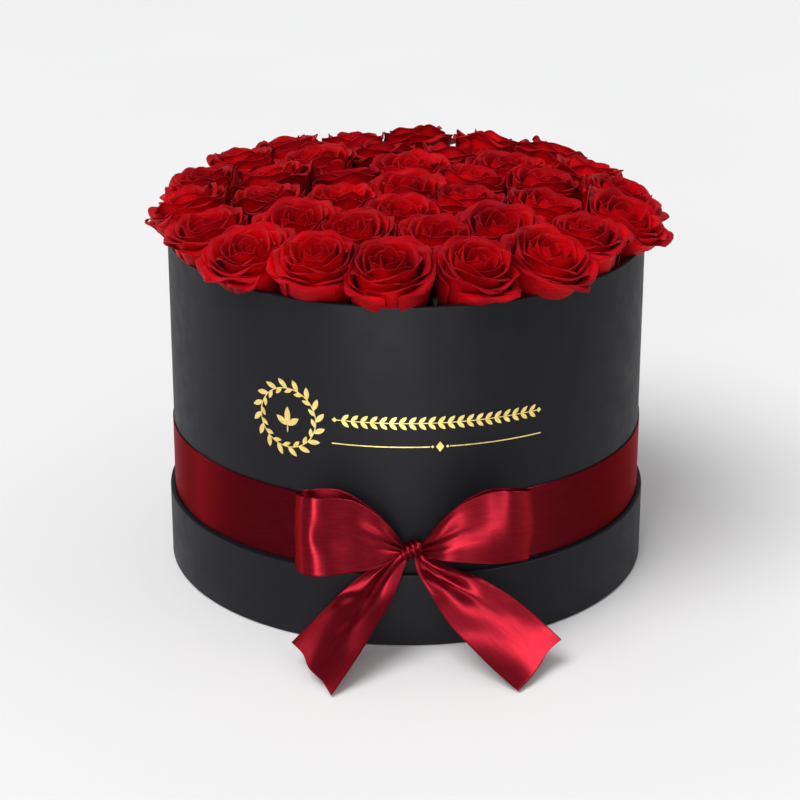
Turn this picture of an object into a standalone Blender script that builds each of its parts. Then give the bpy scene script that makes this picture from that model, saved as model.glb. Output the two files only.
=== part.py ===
"""Round flower box: a greyboard box standing in its own upturned lid, tied with a ribbon and bow.

Inside the box a riser carries a plastic liner with a disc of floral foam, and the cut roses stand in
the foam.  Z is up, the origin is the centre of the lid's underside, and the bow faces -Y.
"""

import math
import random

import bmesh
import bpy
from mathutils import Euler, Matrix, Vector

MM = 0.001

# Driving dimensions, in millimetres.
BODY_RADIUS = 140.0          # outside of the box's paper
LID_RADIUS = 143.5           # outside of the lid's paper
BOX_RIM_Z = 201.0            # top of the box's rim above the table
LID_RIM_Z = 44.0             # top of the lid's rim above the table
PAPER = 0.35                 # covering paper, with its glue
GAP = 0.3                    # glue line or rest between neighbouring pieces
BOX_BOARD = 2.0              # greyboard of the box
LID_BOARD = 1.7              # greyboard of the lid's side
TURN_IN = 16.0               # paper folded over a rim and down inside it
ROUND_SIDES = 48             # facets of the large round pieces

RIBBON_WIDTH = 43.5
RIBBON_THICKNESS = 0.6
RIBBON_LOW_Z = 44.5          # lower edge of the ribbon round the box
RIBBON_ROW_STEPS = 3         # faces between two rows of a loop or a tail
KNOT = (2.9, -152.0, 64.0)   # centre of the knot
KNOT_HALF = (5.6, 5.0, 5.2)  # half its width, depth and height
FOIL = 0.3                   # hot-stamped foil

RISER_HEIGHT = 64.0
LINER_WALL = 1.0
LINER_DEPTH = 86.0
LINER_RADIUS = 134.0
FOAM_HEIGHT = 80.0

STEM_RADIUS = 2.8
STEM_IN_FOAM = 46.0
ROSE_SIDES = 10

# Levels worked out from the driving dimensions, from the table up.
LID_BOARD_Z = PAPER + GAP
LID_BOARD_TOP = LID_BOARD_Z + BOX_BOARD
BOX_FLOOR_Z = LID_BOARD_TOP + GAP
BASE_BOARD_Z = BOX_FLOOR_Z + PAPER + GAP
BASE_BOARD_TOP = BASE_BOARD_Z + BOX_BOARD
RISER_Z = BASE_BOARD_TOP + GAP
PLATFORM_Z = RISER_Z + RISER_HEIGHT + GAP
LINER_Z = PLATFORM_Z + BOX_BOARD + GAP
FOAM_Z = LINER_Z + LINER_WALL + GAP
FOAM_TOP = FOAM_Z + FOAM_HEIGHT

# Radii worked out from the outside in.
BOX_WALL_OUTER = BODY_RADIUS - PAPER - GAP
BOX_WALL_INNER = BOX_WALL_OUTER - BOX_BOARD
LINING_OUTER = BOX_WALL_INNER - GAP
LINING_INNER = LINING_OUTER - PAPER
LID_WALL_OUTER = LID_RADIUS - PAPER - GAP
LID_WALL_INNER = LID_WALL_OUTER - LID_BOARD
BAND_RADIUS = BODY_RADIUS + GAP + RIBBON_THICKNESS / 2

for leftover in list(bpy.data.objects):
    bpy.data.objects.remove(leftover)

assembly = bpy.data.collections.new("flower_box")
cutters = bpy.data.collections.new("cutters")
for group in (assembly, cutters):
    bpy.context.scene.collection.children.link(group)


def finish(name, color, roughness, metallic=0.0):
    """A Principled material with one colour."""
    made = bpy.data.materials.new(name)
    made.use_nodes = True
    shader = made.node_tree.nodes["Principled BSDF"]
    shader.inputs["Base Color"].default_value = (*color, 1.0)
    shader.inputs["Roughness"].default_value = roughness
    shader.inputs["Metallic"].default_value = metallic
    return made


black_paper = finish("black_paper", (0.016, 0.016, 0.018), 0.55)
greyboard = finish("greyboard", (0.30, 0.28, 0.25), 0.9)
red_satin = finish("red_satin", (0.34, 0.004, 0.016), 0.32)
gold_foil = finish("gold_foil", (0.83, 0.60, 0.20), 0.28, 1.0)
liner_plastic = finish("liner_plastic", (0.05, 0.05, 0.055), 0.35)
green_foam = finish("green_foam", (0.05, 0.16, 0.07), 0.95)
rose_red = finish("rose_red", (0.50, 0.004, 0.010), 0.5)


def place(name, data, material, group=assembly):
    """An object of that mesh or curve, in that material and collection."""
    obj = bpy.data.objects.new(name, data)
    if not data.materials:
        data.materials.append(material)
    group.objects.link(obj)
    return obj


def disc(name, radius, low, high, material, sides=ROUND_SIDES):
    """A flat round board or paper between two levels."""
    mesh = bpy.data.meshes.new(name)
    form = bmesh.new()
    bmesh.ops.create_cone(form, cap_ends=True, segments=sides, radius1=radius * MM,
                          radius2=radius * MM, depth=(high - low) * MM)
    form.to_mesh(mesh)
    form.free()
    obj = place(name, mesh, material)
    obj.location.z = (low + high) / 2 * MM
    return obj


def outline_mesh(name, points, closed):
    """A chain of edges through (radius, height) points, for turning."""
    mesh = bpy.data.meshes.new(name)
    edges = [(i, i + 1) for i in range(len(points) - 1)]
    if closed:
        edges.append((len(points) - 1, 0))
    mesh.from_pydata([(r * MM, 0.0, z * MM) for r, z in points], edges, [])
    return mesh


def turn(obj, sides=ROUND_SIDES):
    """Turns an object's outline round its own Z axis."""
    screw = obj.modifiers.new("turn", "SCREW")
    screw.steps = sides
    screw.render_steps = sides
    screw.use_merge_vertices = True
    screw.merge_threshold = 0.0001
    screw.use_normal_calculate = False
    return obj


def tube(name, inner, outer, low, high, material):
    """A plain round tube. Its outline runs down the outside and up the inside."""
    outline = [(outer, high), (outer, low), (inner, low), (inner, high)]
    return turn(place(name, outline_mesh(name, outline, True), material))


def rim_paper(name, wall_inner, wall_outer, low, top, material):
    """Paper that covers a tube's outside, folds over its rim and ends down inside it."""
    outer = wall_outer + GAP + PAPER
    inner = wall_inner - GAP - PAPER
    inside_end = top - TURN_IN
    outline = [
        (outer, top), (outer, low),
        (outer - PAPER, low), (outer - PAPER, top - PAPER),
        (inner + PAPER, top - PAPER), (inner + PAPER, inside_end),
        (inner, inside_end), (inner, top),
    ]
    return turn(place(name, outline_mesh(name, outline, True), material))


def build_lid():
    """The lid lies upturned on the table: a board inside a ring, both covered with paper."""
    disc("lid_face_paper", LID_WALL_OUTER, 0.0, PAPER, black_paper)
    disc("lid_board", LID_WALL_INNER - GAP, LID_BOARD_Z, LID_BOARD_TOP, greyboard)
    tube("lid_wall", LID_WALL_INNER, LID_WALL_OUTER, LID_BOARD_Z, LID_RIM_Z - PAPER - GAP, greyboard)
    rim_paper("lid_side_paper", LID_WALL_INNER, LID_WALL_OUTER, LID_BOARD_Z, LID_RIM_Z, black_paper)


def build_box():
    """The box: a board glued in the end of a tube, with side paper, base paper and lining."""
    disc("box_base_paper", LINING_INNER, BOX_FLOOR_Z, BOX_FLOOR_Z + PAPER, black_paper)
    disc("box_base_board", LINING_OUTER, BASE_BOARD_Z, BASE_BOARD_TOP, greyboard)
    tube("box_wall", BOX_WALL_INNER, BOX_WALL_OUTER, BOX_FLOOR_Z, BOX_RIM_Z - PAPER - GAP, greyboard)
    rim_paper("box_side_paper", BOX_WALL_INNER, BOX_WALL_OUTER, BOX_FLOOR_Z, BOX_RIM_Z, black_paper)
    tube("box_lining", LINING_INNER, LINING_OUTER, RISER_Z, BOX_RIM_Z - TURN_IN - GAP, black_paper)


def smooth(t):
    """Eases from 0 to 1."""
    t = max(0.0, min(1.0, t))
    return t * t * (3 - 2 * t)


def catmull(points, t):
    """The point at share t between the second and third of four points, on a smooth curve."""
    a, b, c, d = points
    return 0.5 * (2 * b + (c - a) * t + (2 * a - 5 * b + 4 * c - d) * t * t
                  + (3 * b - a - 3 * c + d) * t ** 3)


def strip(name, rows, material, row_steps=RIBBON_ROW_STEPS):
    """A ribbon lofted through rows of (one edge, other edge), and made thick by Solidify."""
    form = bmesh.new()
    ends = [rows[0], *rows, rows[-1]]
    lofted = []
    for i in range(len(rows) - 1):
        for k in range(row_steps):
            lofted.append([
                catmull([Vector(ends[i + n][side]) for n in range(4)], k / row_steps) for side in (0, 1)
            ])
    lofted.append([Vector(rows[-1][side]) for side in (0, 1)])
    grid = [[form.verts.new(point * MM) for point in row] for row in lofted]
    for low, high in zip(grid, grid[1:]):
        form.faces.new((low[0], low[1], high[1], high[0]))
    mesh = bpy.data.meshes.new(name)
    form.to_mesh(mesh)
    form.free()
    obj = place(name, mesh, material)
    thick = obj.modifiers.new("thickness", "SOLIDIFY")
    thick.thickness = RIBBON_THICKNESS * MM
    thick.offset = 0.0
    return obj


def build_band():
    """The ribbon round the box. Towards the knot it narrows and stands off the wall."""
    knot_clear = 9.0         # along the wall, from the knot's middle to the band's end
    pinch_reach = 62.0       # length over which the ribbon narrows
    pinched_width = 9.0
    lift_reach = 40.0        # length over which it leaves the wall
    stand_off = 7.0
    facets = 100
    middle = RIBBON_LOW_Z + RIBBON_WIDTH / 2
    around = math.tau * BAND_RADIUS
    rows = []
    for i in range(facets + 1):
        arc = knot_clear + (around - 2 * knot_clear) * i / facets
        from_end = min(arc, around - arc) - knot_clear
        opened = smooth(from_end / pinch_reach)
        half_width = (pinched_width + (RIBBON_WIDTH - pinched_width) * opened) / 2
        radius = BAND_RADIUS + stand_off * (1 - smooth(from_end / lift_reach))
        level = KNOT[2] + (middle - KNOT[2]) * opened
        angle = (arc + KNOT[0]) / BAND_RADIUS - math.pi / 2
        x, y = radius * math.cos(angle), radius * math.sin(angle)
        rows.append(((x, y, level - half_width), (x, y, level + half_width)))
    return strip("ribbon_band", rows, red_satin, row_steps=1)


# Each row of a loop is its lower and upper edge, from the knot round the front to the knot again.
LOOP_LEFT_ROWS = [
    ((-3.6, -153.0, 60.5), (-3.2, -153.0, 67.5)),
    ((-18.0, -161.5, 54.6), (-13.0, -160.5, 84.5)),
    ((-34.0, -164.5, 54.2), (-30.0, -163.0, 96.5)),
    ((-51.6, -160.0, 54.4), (-50.0, -157.0, 98.5)),
    ((-61.2, -151.0, 52.5), (-59.5, -149.0, 96.0)),
    ((-57.0, -142.5, 53.0), (-55.0, -142.0, 95.5)),
    ((-40.0, -142.5, 53.5), (-38.0, -142.8, 95.5)),
    ((-20.0, -147.0, 56.0), (-19.0, -148.0, 86.0)),
    ((-3.6, -150.5, 61.0), (-3.4, -150.5, 67.0)),
]
LOOP_RIGHT_ROWS = [
    ((9.4, -153.0, 60.5), (9.0, -153.0, 67.5)),
    ((20.0, -157.5, 61.0), (17.0, -158.0, 81.0)),
    ((36.0, -160.5, 59.5), (30.0, -161.5, 95.0)),
    ((53.0, -158.0, 57.0), (45.0, -160.0, 102.0)),
    ((63.0, -154.0, 55.5), (58.0, -153.5, 102.0)),
    ((67.7, -149.5, 54.6), (65.0, -147.5, 98.5)),
    ((62.0, -142.0, 54.0), (59.0, -141.5, 96.5)),
    ((43.0, -143.0, 55.0), (42.0, -142.5, 95.0)),
    ((24.0, -147.5, 57.0), (23.0, -148.0, 84.0)),
    ((9.4, -150.5, 61.0), (9.2, -150.5, 67.0)),
]
# Each row of a tail is its left and right edge, from the knot to the cut end on the table.
TAIL_LEFT_ROWS = [
    ((-4.5, -151.5, 57.5), (0.5, -152.5, 57.3)),
    ((-22.0, -151.5, 50.5), (-1.8, -155.5, 49.9)),
    ((-33.6, -153.0, 41.0), (-8.5, -164.0, 38.5)),
    ((-43.9, -156.0, 31.1), (-16.0, -173.5, 29.0)),
    ((-54.1, -160.0, 21.6), (-27.0, -188.0, 16.0)),
    ((-63.7, -166.0, 13.8), (-40.8, -204.5, 0.9)),
]
TAIL_RIGHT_ROWS = [
    ((5.0, -152.5, 57.3), (10.0, -151.5, 57.5)),
    ((6.0, -155.0, 52.0), (22.5, -153.0, 54.0)),
    ((13.5, -161.0, 40.4), (41.1, -154.0, 47.2)),
    ((21.5, -170.0, 30.2), (55.5, -156.0, 39.1)),
    ((32.1, -178.0, 20.7), (68.8, -159.0, 29.2)),
    ((46.5, -189.0, 10.0), (78.0, -162.0, 21.5)),
    ((60.4, -199.0, 0.9), (85.6, -166.0, 15.6)),
]


def build_bow():
    """Two loops and two tails round a small hard knot."""
    knot = bpy.data.meshes.new("bow_knot")
    form = bmesh.new()
    bmesh.ops.create_uvsphere(form, u_segments=12, v_segments=8, radius=1.0)
    bmesh.ops.scale(form, vec=[h * MM for h in KNOT_HALF], verts=form.verts)
    form.to_mesh(knot)
    form.free()
    place("bow_knot", knot, red_satin).location = Vector(KNOT) * MM
    strip("bow_loop_left", LOOP_LEFT_ROWS, red_satin)
    strip("bow_loop_right", LOOP_RIGHT_ROWS, red_satin)
    strip("bow_tail_left", TAIL_LEFT_ROWS, red_satin)
    strip("bow_tail_right", TAIL_RIGHT_ROWS, red_satin)


def wrap_on_wall(mesh, angle, level, radius):
    """Rolls a flat plate, drawn in X and Z with its back at Y 0, onto the box's wall."""
    for vert in mesh.vertices:
        x, y, z = vert.co
        turned = angle + x / (radius * MM)
        out = radius * MM - y
        vert.co = (out * math.cos(turned), out * math.sin(turned), z + level * MM)


def foil_plate(name, outlines, angle, level, cells):
    """Hot-stamped foil: a thin plate of a flat outline, cut into cells so that it can follow the wall."""
    curve = bpy.data.curves.new(name, "CURVE")
    curve.dimensions = "2D"
    curve.fill_mode = "BOTH"
    curve.extrude = FOIL / 2 * MM
    for points in outlines:
        spline = curve.splines.new("POLY")
        spline.points.add(len(points) - 1)
        for target, (x, z) in zip(spline.points, points):
            target.co = (x * MM, z * MM, 0.0, 1.0)
        spline.use_cyclic_u = True
    drawn = bpy.data.objects.new(name, curve)
    bpy.context.scene.collection.objects.link(drawn)
    bpy.context.view_layer.update()
    mesh = bpy.data.meshes.new_from_object(drawn.evaluated_get(bpy.context.evaluated_depsgraph_get()))
    bpy.data.objects.remove(drawn)
    form = bmesh.new()
    form.from_mesh(mesh)
    bmesh.ops.remove_doubles(form, verts=form.verts, dist=0.00001)
    width = max(x for points in outlines for x, _ in points)
    for i in range(1, cells):
        across = (2 * i / cells - 1) * width * MM
        bmesh.ops.bisect_plane(form, geom=form.verts[:] + form.edges[:] + form.faces[:],
                               plane_co=(across, 0, 0), plane_no=(1, 0, 0), dist=0.000001)
    bmesh.ops.transform(form, matrix=Matrix.Rotation(math.pi / 2, 4, "X"), verts=form.verts)
    form.to_mesh(mesh)
    form.free()
    mesh.name = name
    wrap_on_wall(mesh, angle, level, BODY_RADIUS + GAP + FOIL / 2)
    return place(name, mesh, gold_foil)


def build_foil():
    """A wreath, a border and a rule beneath it, stamped in gold on the front of the box."""
    wreath_angle = math.radians(-118.0)
    border_angle = math.radians(-82.5)
    leaves = 12
    teeth = []
    for i in range(leaves):
        for turn_share, radius in ((0.0, 17.5), (0.35, 21.0), (0.75, 22.5)):
            around = math.tau * (i + turn_share) / leaves
            teeth.append((radius * math.cos(around), radius * math.sin(around)))
    inside = [(14.5 * math.cos(math.tau * i / 36), 14.5 * math.sin(math.tau * i / 36)) for i in range(36)]
    foil_plate("foil_wreath", [teeth, inside], wreath_angle, 131.0, 8)
    half_long, half_tall = 60.0, 4.5
    border = [(-half_long, -half_tall), (half_long, -half_tall),
              (half_long, half_tall), (-half_long, half_tall)]
    foil_plate("foil_border", [border], border_angle, 134.0, 14)
    half_line, half_gem = 0.6, 3.0
    lower = [(-half_long, -half_line), (-4.0, -half_line), (0.0, -half_gem), (4.0, -half_line),
             (half_long, -half_line)]
    upper = [(x, -z) for x, z in reversed(lower)]
    foil_plate("foil_rule", [lower + upper], border_angle, 120.0, 14)


def build_inside():
    """What stands in the box: a riser ring, its platform, the liner and the foam."""
    riser_wall = 3.0
    tube("riser_ring", LINER_RADIUS - riser_wall, LINER_RADIUS, RISER_Z, RISER_Z + RISER_HEIGHT, greyboard)
    disc("riser_platform", LINER_RADIUS, PLATFORM_Z, PLATFORM_Z + BOX_BOARD, greyboard)
    draft = 2.0              # the liner is this much narrower at its floor
    bead = 1.2               # rolled edge of the liner
    top = LINER_Z + LINER_DEPTH
    floor_radius = LINER_RADIUS - bead - draft
    outline = [
        (0.0, LINER_Z + LINER_WALL), (floor_radius - LINER_WALL, LINER_Z + LINER_WALL),
        (LINER_RADIUS - bead - LINER_WALL, top), (LINER_RADIUS, top), (LINER_RADIUS, top - bead),
        (LINER_RADIUS - bead, top - bead), (floor_radius, LINER_Z), (0.0, LINER_Z),
    ]
    turn(place("liner", outline_mesh("liner", outline, False), liner_plastic))
    return disc("foam", floor_radius - LINER_WALL - GAP, FOAM_Z, FOAM_TOP, green_foam)


# Rings of roses: how many, ring radius at the heads' widest part, lean outwards, level of the calyx,
# and the angle of the ring's first rose.
ROSE_RINGS = [
    (1, 0.0, 0.0, 190.0, 0.0),
    (6, 41.6, 5.0, 189.5, -94.0),
    (12, 82.2, 10.0, 188.0, -79.0),
    (18, 123.6, 16.0, 186.0, -94.0),
]
HEAD_WIDEST = (20.3, 26.5)   # radius, and height above the calyx
ROSE_OUTLINE = [
    (0.0, 42.0), (8.0, 41.5), (16.0, 38.5), (19.6, 33.0), HEAD_WIDEST,
    (14.0, 19.5), (11.6, 13.0), (9.4, 6.0), (4.6, 0.0),
]


def rose_seats():
    """The matrix of each rose: its origin at the calyx and its Z axis up the stem."""
    draw = random.Random(7)
    seats = []
    for count, ring, lean, level, first in ROSE_RINGS:
        tilt = math.radians(lean)
        seat_radius = ring - HEAD_WIDEST[1] * math.sin(tilt)
        for i in range(count):
            around = math.radians(first + 360.0 * i / count)
            lift = draw.uniform(-0.8, 0.8)
            centre = Vector((seat_radius * math.cos(around), seat_radius * math.sin(around), level + lift))
            leaned = Euler((0.0, tilt, around), "XYZ").to_matrix().to_4x4()
            seats.append(Matrix.Translation(centre * MM) @ leaned)
    return seats


def stem_length(seat):
    """From the calyx to the stem's cut end in the foam, along the stem."""
    return (seat.translation.z / MM - FOAM_TOP + STEM_IN_FOAM) / seat.col[2].z


def build_roses(foam):
    """Each rose is one turned solid, head, calyx and stem, and stands in a hole of its own in the foam."""
    hole_radius = STEM_RADIUS + GAP + 0.1
    holes = bmesh.new()
    for number, seat in enumerate(rose_seats(), start=1):
        long = stem_length(seat)
        outline = [*ROSE_OUTLINE, (STEM_RADIUS, -4.0), (STEM_RADIUS, -long), (0.0, -long)]
        name = f"rose_{number:02d}"
        rose = turn(place(name, outline_mesh(name, outline, False), rose_red), ROSE_SIDES)
        rose.matrix_world = seat
        above = 20.0
        depth = long + GAP + above
        middle = Matrix.Translation((0.0, 0.0, (above - long - GAP) / 2 * MM))
        bmesh.ops.create_cone(holes, cap_ends=True, segments=ROSE_SIDES - 2, radius1=hole_radius * MM,
                              radius2=hole_radius * MM, depth=depth * MM, matrix=seat @ middle)
    mesh = bpy.data.meshes.new("stem_holes")
    holes.to_mesh(mesh)
    holes.free()
    cutter = place("stem_holes", mesh, green_foam, cutters)
    cutter.hide_render = True
    cutter.display_type = "WIRE"
    cut = foam.modifiers.new("stem_holes", "BOOLEAN")
    cut.operation = "DIFFERENCE"
    cut.object = cutter


build_lid()
build_box()
build_band()
build_bow()
build_foil()
build_roses(build_inside())
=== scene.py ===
import math
import random

import bmesh
import bpy
import numpy as np
from mathutils import Euler, Matrix, Vector


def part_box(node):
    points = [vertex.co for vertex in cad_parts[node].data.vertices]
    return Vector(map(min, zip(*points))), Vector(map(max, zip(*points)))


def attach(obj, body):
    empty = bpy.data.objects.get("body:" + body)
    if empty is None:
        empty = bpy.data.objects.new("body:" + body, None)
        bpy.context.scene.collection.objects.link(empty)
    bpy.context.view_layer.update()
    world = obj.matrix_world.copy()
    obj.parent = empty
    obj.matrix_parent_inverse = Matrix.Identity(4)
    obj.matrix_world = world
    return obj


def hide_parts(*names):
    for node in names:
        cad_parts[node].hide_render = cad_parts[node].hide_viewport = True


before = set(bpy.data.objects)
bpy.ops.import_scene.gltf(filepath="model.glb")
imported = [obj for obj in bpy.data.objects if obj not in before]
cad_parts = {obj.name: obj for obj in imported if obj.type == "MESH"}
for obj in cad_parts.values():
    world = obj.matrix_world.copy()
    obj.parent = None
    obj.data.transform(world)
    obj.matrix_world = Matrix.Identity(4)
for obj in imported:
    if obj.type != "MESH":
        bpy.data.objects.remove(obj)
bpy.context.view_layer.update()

# THE BOARDS OF THE LID.  Greyboard, a 2 mm brown-grey pulp board: a die-cut disc, and a strip rolled
# into a ring round it and butted at the back.  It shows only inside and at raw edges.
MM = 0.001


def blank(name, **values):
    """A material with those Principled values, each named as its socket is with _ for a space."""
    made = bpy.data.materials.new(name)
    made.use_nodes = True
    skin = made.node_tree.nodes["Principled BSDF"]
    for socket, value in values.items():
        skin.inputs[socket.replace("_", " ")].default_value = value
    return made, made.node_tree, skin


def feed(tree, socket, value):
    """Gives a socket a value, a colour, or another node's output as a link."""
    if isinstance(value, bpy.types.NodeSocket):
        tree.links.new(value, socket)
    elif socket.type == "RGBA":
        socket.default_value = (*value, 1)
    else:
        socket.default_value = value


def node(tree, kind, inputs=(), **settings):
    """A shader node with those inputs and settings."""
    made = tree.nodes.new("ShaderNode" + kind)
    for key, value in settings.items():
        setattr(made, key, value)
    for key, value in dict(inputs).items():
        feed(tree, made.inputs[key], value)
    return made


def where(tree):
    """The piece's own coordinates, in metres."""
    return node(tree, "TexCoord").outputs["Object"]


def stretched(tree, vector, along):
    """Coordinates scaled by a factor each way, for a grain that runs one way."""
    return node(tree, "Mapping", {"Vector": vector, "Scale": along}).outputs[0]


def noise(tree, vector, scale, detail=3.0, rough=0.5):
    """Cloudy noise from 0 to 1, with that many blotches a metre."""
    made = node(tree, "TexNoise", {"Vector": vector, "Scale": scale, "Detail": detail, "Roughness": rough})
    return made.outputs["Fac"]


def marked(tree, name):
    """A value that the mesh carries at each point."""
    return node(tree, "Attribute", attribute_name=name).outputs["Fac"]


def ramp(tree, value, *stops):
    """Colours or greys at places from 0 to 1."""
    made = node(tree, "ValToRGB", {"Fac": value})
    bar = made.color_ramp.elements
    while len(bar) < len(stops):
        bar.new(0.5)
    for spot, (place, colour) in zip(bar, stops):
        spot.position = place
        spot.color = (colour, colour, colour, 1) if isinstance(colour, (int, float)) else (*colour, 1)
    return made.outputs["Color"]


def mix(tree, share, first, second):
    """Two colours mixed by share, which is 0 for the first alone."""
    made = node(tree, "Mix", data_type="RGBA")
    for place, value in ((0, share), (6, first), (7, second)):
        feed(tree, made.inputs[place], value)
    return made.outputs[2]


def sums(tree, operation, *values):
    """One arithmetic step."""
    return node(tree, "Math", dict(enumerate(values)), operation=operation).outputs[0]


def relief(tree, skin, height, deep, under=None):
    """Relief that many metres deep, over an earlier one if there is one."""
    inputs = {"Height": height, "Distance": deep}
    if under is not None:
        inputs["Normal"] = under
    made = node(tree, "Bump", inputs)
    tree.links.new(made.outputs["Normal"], skin.inputs["Normal"])
    return made.outputs["Normal"]


def piece(name, verts, faces, paint, body, stands_for=(), marks=(), sharp=40.0):
    """A mesh in millimetres that rides on a body and stands for some CAD nodes, or for the one of its name."""
    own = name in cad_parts
    mesh = bpy.data.meshes.new(name)
    mesh.from_pydata((np.asarray(verts, dtype=float) * MM).tolist(), [], faces)
    for mark, values in dict(marks).items():
        mesh.attributes.new(mark, "FLOAT", "POINT").data.foreach_set("value", np.asarray(values, np.float32))
    mesh.materials.append(paint)
    mesh.shade_smooth()
    mesh.set_sharp_from_angle(angle=math.radians(sharp))
    made = bpy.data.objects.new(f"{name}_finished" if own else name, mesh)
    bpy.context.scene.collection.objects.link(made)
    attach(made, body)
    if own or stands_for:
        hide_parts(*(stands_for or [name]))
    return made


def rounded(outline, radius):
    """A closed outline in radius and height, with its corners rounded off."""
    found, steps = [], 3
    for i, corner in enumerate(outline):
        corner = Vector(corner)
        before, after = Vector(outline[i - 1]) - corner, Vector(outline[(i + 1) % len(outline)]) - corner
        bite = 0.0 if corner.x == 0 else radius
        a = corner + before.normalized() * min(bite, before.length * 0.45)
        b = corner + after.normalized() * min(bite, after.length * 0.45)
        found += [(1 - t) ** 2 * a + 2 * t * (1 - t) * corner + t * t * b for t in
                  ([k / steps for k in range(steps + 1)] if bite else [0.5])]
    return [(max(p.x, 0.0), p.y) for p in found]


def turned(name, outline, paint, body, round_off=0.15, shape=None, segments=240):
    """A ring or disc turned from a closed outline; shape(angle, radius, height) may move its radius."""
    profile = rounded(outline, round_off)
    verts, faces, wide = [], [], len(profile)
    for i in range(segments):
        angle = math.tau * i / segments
        for r, z in profile:
            far = shape(angle, r, z) if shape else r
            verts.append((far * math.cos(angle), far * math.sin(angle), z))
        other = (i + 1) % segments
        faces += [(i * wide + j, other * wide + j, other * wide + (j + 1) % wide, i * wide + (j + 1) % wide)
                  for j in range(wide)]
    made = piece(name, verts, faces, paint, body)
    form = bmesh.new()
    form.from_mesh(made.data)
    bmesh.ops.remove_doubles(form, verts=form.verts, dist=1e-7)
    bmesh.ops.recalc_face_normals(form, faces=form.faces)
    form.to_mesh(made.data)
    form.free()
    return made


def reach(name):
    """A round CAD node's radius, lowest and highest level, in millimetres."""
    low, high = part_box(name)
    return high.x / MM, low.z / MM, high.z / MM


def disc(name, paint, body):
    """A flat disc where the CAD has it."""
    out, low, top = reach(name)
    turned(name, [(0, top), (out, top), (out, low), (0, low)], paint, body)


def tube(name, thick, paint, body, *finish):
    """A straight ring of board or paper, that thick, where the CAD has it."""
    out, low, top = reach(name)
    turned(name, [(out, top), (out, low), (out - thick, low), (out - thick, top)], paint, body, *finish)


def greyboard_stock():
    """Pulp board: soft clouds, dark and pale fibres, and a dry matt face."""
    board, tree, skin = blank("greyboard", Roughness=0.93, Specular_IOR_Level=0.2)
    place = where(tree)
    clouds = ramp(tree, noise(tree, place, 60, 4), (0.3, (0.250, 0.228, 0.196)), (0.7, (0.345, 0.318, 0.275)))
    fibres = ramp(tree, noise(tree, stretched(tree, place, (1, 1, 5)), 900, 2), (0.30, 1.0), (0.36, 0.0))
    flecked = mix(tree, fibres, clouds, (0.10, 0.085, 0.07))
    pale = ramp(tree, noise(tree, stretched(tree, place, (4, 1, 1)), 700, 2), (0.66, 0.0), (0.71, 1.0))
    tree.links.new(mix(tree, pale, flecked, (0.52, 0.49, 0.43)), skin.inputs["Base Color"])
    relief(tree, skin, noise(tree, place, 1500, 5, 0.7), 0.00012)
    return board


LID_WALL = 1.7

greyboard = greyboard_stock()
disc("lid_board", greyboard, "lid")
tube("lid_wall", LID_WALL, greyboard, "lid")

# THE LID'S PAPERS.  Charcoal-black covering paper with a fine felt grain, glued over the boards: a disc
# on the face, and a strip round the side, lapped at the back and folded over the rim and down inside.
PAPER = 0.35
GAP = 0.3
TURN_IN = 16.0
LAP_WIDTH = 0.09         # radians of overlap
LAP_STEP = 0.28


def paper_stock():
    """Dyed-through matt paper: nearly black, cloudy at arm's length, felt-grained close up."""
    paper, tree, skin = blank("black_paper", Specular_IOR_Level=0.11)
    place = where(tree)
    clouds = noise(tree, place, 22, 3)
    grain = noise(tree, place, 2600, 4, 0.65)
    dye = ramp(tree, clouds, (0.3, (0.0078, 0.0077, 0.0108)), (0.7, (0.0106, 0.0105, 0.0142)))
    tree.links.new(mix(tree, ramp(tree, grain, (0.35, 0.0), (0.75, 0.45)), dye, (0.021, 0.021, 0.0245)),
                   skin.inputs["Base Color"])
    tree.links.new(ramp(tree, noise(tree, place, 90, 4), (0.3, 0.46), (0.7, 0.56)), skin.inputs["Roughness"])
    fold = relief(tree, skin, noise(tree, place, 11, 2), 0.0012)
    relief(tree, skin, grain, 0.00005, fold)
    return paper


def lapped(angle, radius, height):
    """The strip's end lies over its beginning, at the back."""
    past = angle - math.pi / 2
    return radius + (LAP_STEP if 0 <= past < LAP_WIDTH else 0.0)


def rim_wrap(name, wall, thick, body):
    """Paper round the outside of a wall that thick, over its rim and a little way down inside it."""
    outside, low, top = reach(name)
    inside = reach(wall)[0] - thick - GAP - PAPER
    return turned(name, [
        (outside, top), (outside, low), (outside - PAPER, low), (outside - PAPER, top - PAPER),
        (inside + PAPER, top - PAPER), (inside + PAPER, top - TURN_IN), (inside, top - TURN_IN), (inside, top),
    ], black_paper, body, 0.7, lapped, 480)


black_paper = paper_stock()
disc("lid_face_paper", black_paper, "lid")
rim_wrap("lid_side_paper", "lid_wall", LID_WALL, "lid")

# THE BOX.  The same boards and paper: a tall rolled tube with a disc glued in its foot, side paper
# folded over the rim, a base paper, and a lining that covers the inside up to the folded edge.
BOX_WALL = 2.0

tube("box_wall", BOX_WALL, greyboard, "box")
disc("box_base_board", greyboard, "box")
disc("box_base_paper", black_paper, "box")
rim_wrap("box_side_paper", "box_wall", BOX_WALL, "box")
tube("box_lining", PAPER, black_paper, "box", 0.1, lapped, 480)

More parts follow.
